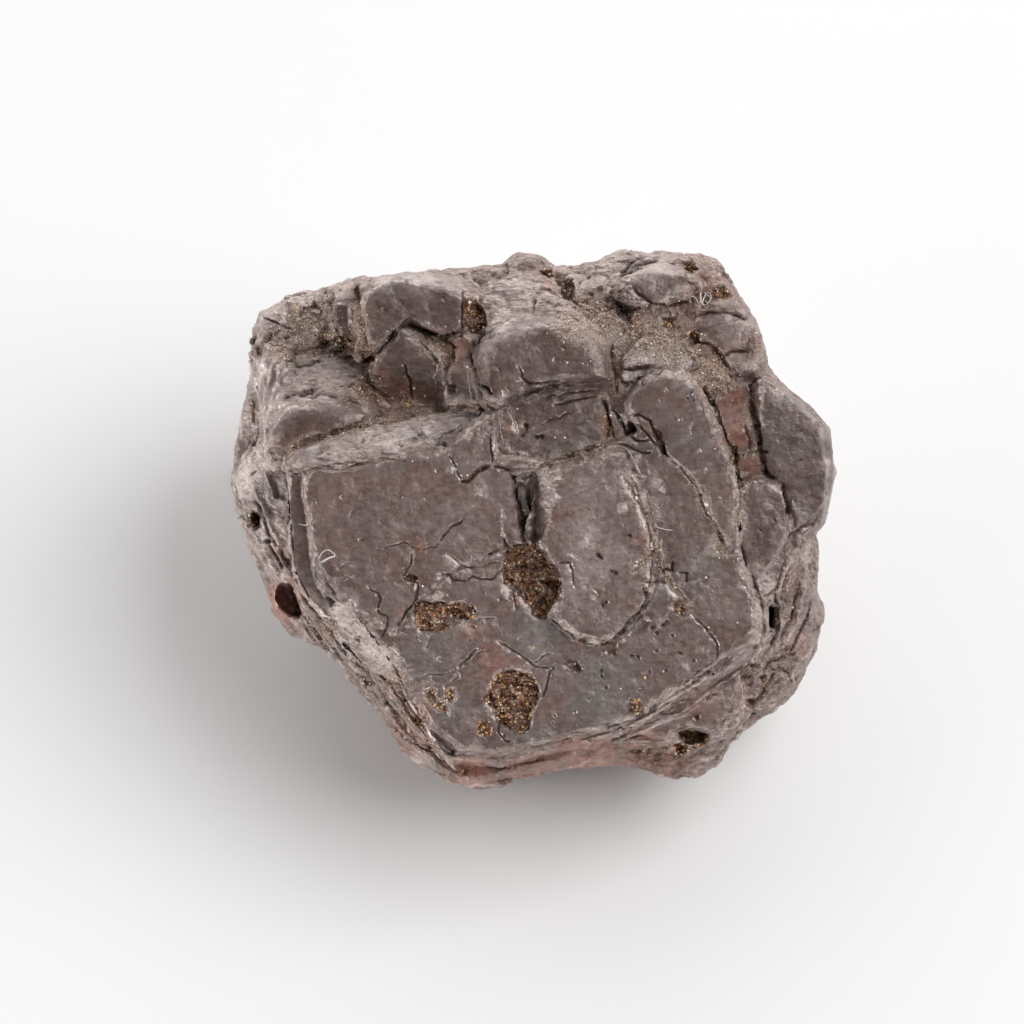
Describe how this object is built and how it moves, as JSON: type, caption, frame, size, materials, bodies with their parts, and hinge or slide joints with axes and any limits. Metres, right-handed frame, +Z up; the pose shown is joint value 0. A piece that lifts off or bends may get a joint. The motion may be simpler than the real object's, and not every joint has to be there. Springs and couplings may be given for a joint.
{
  "type": "iron ore crystal nodule",
  "caption": "Blocky dark ironstone nodule of intergrown, desert-worn crystals with a broad flat front, weathered pits and ledges, lying on a flat underside.",
  "frame": {"origin": "centre of the bounding box at the level of the flat that the stone rests on", "axes": "+Z up, -Y towards the low edge of the broad front face, which leans back 30 degrees from level, +X to the right of it"},
  "size_m": [0.0489, 0.044, 0.0342],
  "materials": {
    "ironstone": "semi-gloss desert polish, dark grey-brown with rust-brown pits",
    "sand": "loose desert sand and dust caught in the cracks"
  },
  "bodies": {
    "root": {"stone": "ironstone"}
  },
  "joints": []
}
